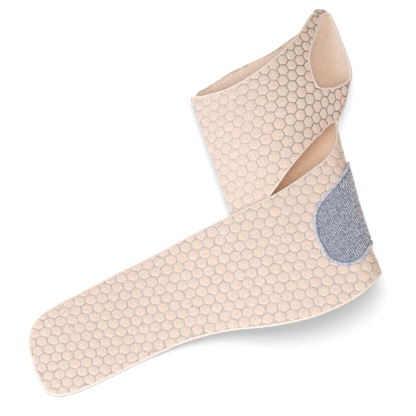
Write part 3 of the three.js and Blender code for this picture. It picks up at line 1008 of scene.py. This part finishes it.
loop_mesh = arch_mesh("one_loop", 4, YARN_RADIUS, LOOP_RADIUS, math.pi, 6)
anchor = Vector(strap_point(*ROW_ANCHOR))
row_way = (unfold(anchor + ROW_WAY * 6) - unfold(anchor)).normalized()
row_step = Vector((-row_way.y, row_way.x, 0))
row_lean = math.atan2(row_way.y, row_way.x)
pile_ring = grown(pad_ring, -PILE_MARGIN)
pile_foot = PAD_FLOOR + PAD_GROUND_THICK - LOOP_SINK
pile = bmesh.new()
pile.verts.layers.float.new("shade")
loops_made = 0
for row in range(-40, 41):
    row_start = Vector((*pad_middle, 0)) + row_step * (row * ROW_PITCH)
    for k in range(-60, 61):
        spot = row_start + row_way * ((k + 0.5 * (row % 2)) * LOOP_PITCH)
        spot.x += random.uniform(-LOOP_SCATTER, LOOP_SCATTER)
        spot.y += random.uniform(-LOOP_SCATTER, LOOP_SCATTER)
        if inside(pile_ring, spot.x, spot.y):
            twist = Matrix.Rotation(row_lean + random.gauss(*LOOP_TWIST), 4, "Z")
            tip = Matrix.Rotation(random.gauss(*LOOP_TIP), 4, "X")
            size = Matrix.Diagonal((1, 1, random.uniform(*LOOP_HEIGHT), 1))
            place = Matrix.Translation((spot.x, spot.y, pile_foot))
            stamp(pile, loop_mesh, place @ twist @ tip @ size, random.uniform(0, 1))
            loops_made += 1
print("loops", loops_made)
fold(pile)
pile_piece = finish_mesh(pile, "pad_loops", [loop_nylon])

# %% [markdown]
# ## Fastener pad: overlocked edge
# An overlock machine wraps the pad's cut edge in thread. A roll is the wrapped core, and half rings of
# thread lie side by side over it, slanted as the machine leaves them.

# %% Overlock thread
overlock_thread, tree, shader = start_material("overlock_polyester_thread")
shade = add(tree, "Attribute", attribute_name="shade").outputs["Fac"]
colour = add(tree, "ValToRGB", {"Fac": shade}, stops=[(0.0, "#8595b4"), (1.0, "#ecf3ff")])
tree.links.new(colour.outputs[0], shader.inputs["Base Color"])
shader.inputs["Roughness"].default_value = 0.6
shader.inputs["Sheen Weight"].default_value = 0.2
print(overlock_thread.name)

# %% Overlocked edge
CORE_RADIUS = 0.85
STITCH_PITCH = 0.8
STITCH_SLANT = math.radians(24)
STITCH_WOBBLE = 0.04
STITCH_THREAD = 0.38
STITCH_CLEAR = 0.08
STITCH_ARC = math.radians(220)
STITCH_TIP = math.radians(20)
STITCH_SHADE = (0.45, 1.0)
CORE_SHADE = 0.35
EDGE_OUT = 1.5
EDGE_ROUNDS = 4
EDGE_GAP = 0.2

edge_ring = rounded(grown(pad_ring, EDGE_OUT), EDGE_ROUNDS)
edge_height = HALF + EDGE_GAP + CORE_RADIUS
edging = rolled([Vector((*place, edge_height)) for place in edge_ring], CORE_RADIUS)
core_shade = edging.verts.layers.float.new("shade")
for vert in edging.verts:
    vert[core_shade] = CORE_SHADE
stitch_mesh = arch_mesh("one_stitch", 5, STITCH_THREAD, CORE_RADIUS + STITCH_CLEAR, STITCH_ARC, 8,
                        STITCH_TIP)
girth = np.linalg.norm(np.roll(edge_ring, -1, axis=0) - edge_ring, axis=1).sum()
stitch_places = even_ring(edge_ring, int(girth / STITCH_PITCH))
stitch_ways = np.roll(stitch_places, -1, axis=0) - np.roll(stitch_places, 1, axis=0)
for place, way in zip(stitch_places, stitch_ways):
    turn = math.atan2(way[1], way[0]) - math.pi / 2 + STITCH_SLANT + random.gauss(0, STITCH_WOBBLE)
    spot = Matrix.Translation((*place, edge_height)) @ Matrix.Rotation(turn, 4, "Z")
    stamp(edging, stitch_mesh, spot, random.uniform(*STITCH_SHADE))
print("overlock stitches", len(stitch_places))
fold(edging)
edging_piece = finish_mesh(edging, "pad_overlock", [overlock_thread])

# %% [markdown]
# ## Which body carries what
# The wrap has no joints, so every piece rides on its one body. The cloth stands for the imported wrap, and
# the pad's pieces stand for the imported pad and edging.

# %% Ride and replace
pieces = [wrap_piece, *edge_pieces, seam_piece, pad_piece, pile_piece, edging_piece]
for piece in pieces:
    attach(piece, "root")
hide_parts("wrap")
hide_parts("fastener_pad")
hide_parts("pad_edging")

# %% [markdown]
# ## Floor
# The wrap lies on a plain white table. A large plain grid is enough. Its paper glows a little, so that
# the open floor stays white while the shadow under the strap is soft and has its full depth.

# %% Floor
FLOOR_HALF = 3

floor_mesh = bpy.data.meshes.new("floor")
floor_bm = bmesh.new()
bmesh.ops.create_grid(floor_bm, x_segments=1, y_segments=1, size=FLOOR_HALF)
floor_bm.to_mesh(floor_mesh)
floor_bm.free()
floor = bpy.data.objects.new("floor", floor_mesh)
bpy.context.collection.objects.link(floor)
paper, tree, shader = start_material("white_paper")
shader.inputs["Base Color"].default_value = linear("#98aab9")
shader.inputs["Roughness"].default_value = 1.0
shader.inputs["Emission Color"].default_value = linear("#ffffff")
shader.inputs["Emission Strength"].default_value = 0.38
shader.inputs["Specular IOR Level"].default_value = 0.0
floor_mesh.materials.append(paper)

# %% [markdown]

# %% [markdown]
# ## Light
# Studio light for a pale catalogue picture is soft and comes from several sides. An even warm surrounding
# fills the folds, a warm box near the camera and a cool box from the left shape the cells, and one wide
# box overhead lights the floor alone, which leaves a single soft shadow. Light linking says which box
# lights what.

# %% Light
AIM = Vector((-61.5, -12.1, 0)) * MM


def soft_box(name, way, distance, size, energy, colour, lit):
    lamp = bpy.data.lights.new(name, "AREA")
    lamp.shape = "DISK"
    lamp.size = size
    lamp.energy = energy
    lamp.color = linear(colour)[:3]
    box = bpy.data.objects.new(name, lamp)
    bpy.context.collection.objects.link(box)
    box.location = AIM + Vector(way).normalized() * distance
    box.rotation_euler = (AIM - box.location).to_track_quat("-Z", "Y").to_euler()
    box.light_linking.receiver_collection = bpy.data.collections.new(name)
    for piece in lit:
        box.light_linking.receiver_collection.objects.link(piece)


world = bpy.data.worlds.new("studio")
world.use_nodes = True
world.node_tree.nodes["Background"].inputs["Color"].default_value = linear("#ffe7d4")
world.node_tree.nodes["Background"].inputs["Strength"].default_value = 0.42
bpy.context.scene.world = world
soft_box("left_box", (-0.53, -0.41, 0.74), 1.2, 0.5, 7.0, "#dbf1ff", pieces)
soft_box("front_box", (-0.1175, -0.3726, 0.9205), 1.7, 0.6, 8.6, "#ffe7d4", pieces)
soft_box("far_box", (0.065, 0.21, 0.975), 1.1, 1.3, 32.0, "#ffe7d4", [floor])
bpy.context.scene.view_settings.view_transform = "Standard"

# %% [markdown]
# ## Camera
# The picture is taken from about 67 degrees above the table with a long lens, so the far end is hardly
# smaller than the near one. The focal length is given in pixels of a square picture.

# %% Camera
FOCAL_PIXELS = 1944.4
PICTURE = 416
SENSOR = 36
FAR_CLIP = 20
eye = Vector((-226.0, -533.8, 1288.7)) * MM
lens = bpy.data.cameras.new("camera")
lens.sensor_width = SENSOR
lens.lens = SENSOR * FOCAL_PIXELS / PICTURE
lens.clip_end = FAR_CLIP
camera = bpy.data.objects.new("camera", lens)
bpy.context.collection.objects.link(camera)
camera.location = eye
camera.rotation_euler = (AIM - eye).to_track_quat("-Z", "Y").to_euler()
bpy.context.scene.camera = camera
